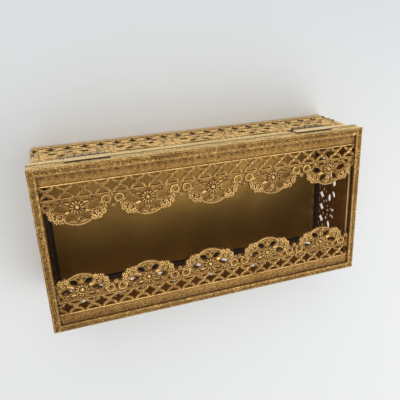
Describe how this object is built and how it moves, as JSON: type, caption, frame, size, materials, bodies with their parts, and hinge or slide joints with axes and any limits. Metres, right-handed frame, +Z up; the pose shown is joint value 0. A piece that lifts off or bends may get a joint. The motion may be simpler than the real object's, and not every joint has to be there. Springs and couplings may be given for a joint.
{
  "type": "jewelry box",
  "caption": "Long low gilded filigree casket with a hinged frame lid whose scalloped pierced strips face each other over an open window",
  "frame": {"origin": "middle of the whole object in plan, on the plane it stands on", "axes": "X along the length, +Y to the back where the hinges are, +Z up"},
  "size_m": [0.254, 0.1288, 0.0635],
  "materials": {
    "gilt_moulding": "engraved aged gilt",
    "gilt_filigree": "aged gilt, dark in the recesses",
    "satin_gold": "satin sheet",
    "hinge_brass": "worn satin",
    "pin_brass": "satin",
    "black_felt": "matte felt",
    "fibreboard": "matte"
  },
  "bodies": {
    "case": {"base_front_angle": "gilt_moulding", "base_back_angle": "gilt_moulding", "base_left_angle": "gilt_moulding", "base_right_angle": "gilt_moulding", "base_board": "fibreboard", "base_lining": "black_felt", "lining_edge": "black_felt", "floor_plate": "satin_gold", "front_wall_filigree": "gilt_filigree", "back_wall_filigree": "gilt_filigree", "left_wall_filigree": "gilt_filigree", "right_wall_filigree": "gilt_filigree", "front_rim_rail": "gilt_moulding", "back_rim_rail": "gilt_moulding", "left_rim_rail": "gilt_moulding", "right_rim_rail": "gilt_moulding", "left_hinge_case_leaf": "hinge_brass", "right_hinge_case_leaf": "hinge_brass", "left_hinge_pin": "pin_brass", "right_hinge_pin": "pin_brass"},
    "lid": {"left_hinge_lid_leaf": "hinge_brass", "right_hinge_lid_leaf": "hinge_brass", "lid_front_rail": "gilt_moulding", "lid_back_rail": "gilt_moulding", "lid_left_rail": "gilt_moulding", "lid_right_rail": "gilt_moulding", "lid_front_filigree": "gilt_filigree", "lid_back_filigree": "gilt_filigree"}
  },
  "joints": [
    {"name": "lid_hinge", "type": "hinge", "parent": "case", "child": "lid", "pos_m": [0, 0.0628, 0.0445], "axis": [-1, 0, 0], "range_deg": [0, 110]}
  ]
}
